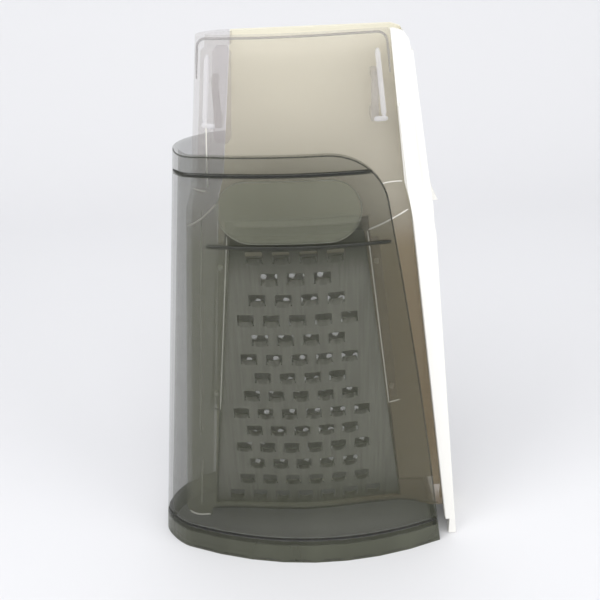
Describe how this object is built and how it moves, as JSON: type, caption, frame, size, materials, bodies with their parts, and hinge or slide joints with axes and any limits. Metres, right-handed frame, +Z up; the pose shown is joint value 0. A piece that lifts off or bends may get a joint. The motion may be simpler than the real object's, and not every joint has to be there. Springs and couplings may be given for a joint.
{
  "type": "hand grater with catch container",
  "caption": "Upright wedge-shaped two-sided hand grater with coarse and fine steel plates in a clear and white core that lifts out of a smoked catch container",
  "frame": {"origin": "centre of the base of the whole object, on the surface it stands on", "axes": "+Z up, the coarse plate faces -Y, the white spine is at +X"},
  "size_m": [0.132, 0.0534, 0.2186],
  "materials": {
    "smoked_plastic": "glossy smoked transparent plastic",
    "clear_plastic": "glossy clear plastic",
    "white_plastic": "satin off-white plastic",
    "steel": "thin stamped stainless steel"
  },
  "bodies": {
    "container": {"catch_container": "smoked_plastic"},
    "core": {"front_shell": "clear_plastic", "rear_frame": "white_plastic", "coarse_plate": "steel", "fine_plate": "steel", "coarse_rail_left": "clear_plastic", "coarse_rail_right": "clear_plastic", "fine_rail_left": "clear_plastic", "fine_rail_right": "clear_plastic", "coarse_stake_lower_left": "white_plastic", "coarse_stake_upper_left": "white_plastic", "coarse_stake_lower_right": "white_plastic", "coarse_stake_upper_right": "white_plastic", "fine_stake_lower_left": "white_plastic", "fine_stake_upper_left": "white_plastic", "fine_stake_lower_right": "white_plastic", "fine_stake_upper_right": "white_plastic", "corner_clip_left": "clear_plastic", "corner_clip_right": "clear_plastic", "lever_pin": "steel"},
    "lever": {"release_lever": "white_plastic", "lever_spring": "steel"}
  },
  "joints": [
    {"name": "core_lift", "type": "slide", "parent": "container", "child": "core", "axis": [0.1306, 0, 0.9914], "range_m": [0, 0.2]},
    {"name": "lever_press", "type": "hinge", "parent": "core", "child": "lever", "pos_m": [0.039, 0.0014, 0.19], "axis": [0, 1, 0], "range_deg": [0, 7], "stiffness_Nm_per_rad": 0.05, "springref_deg": -8.59}
  ]
}
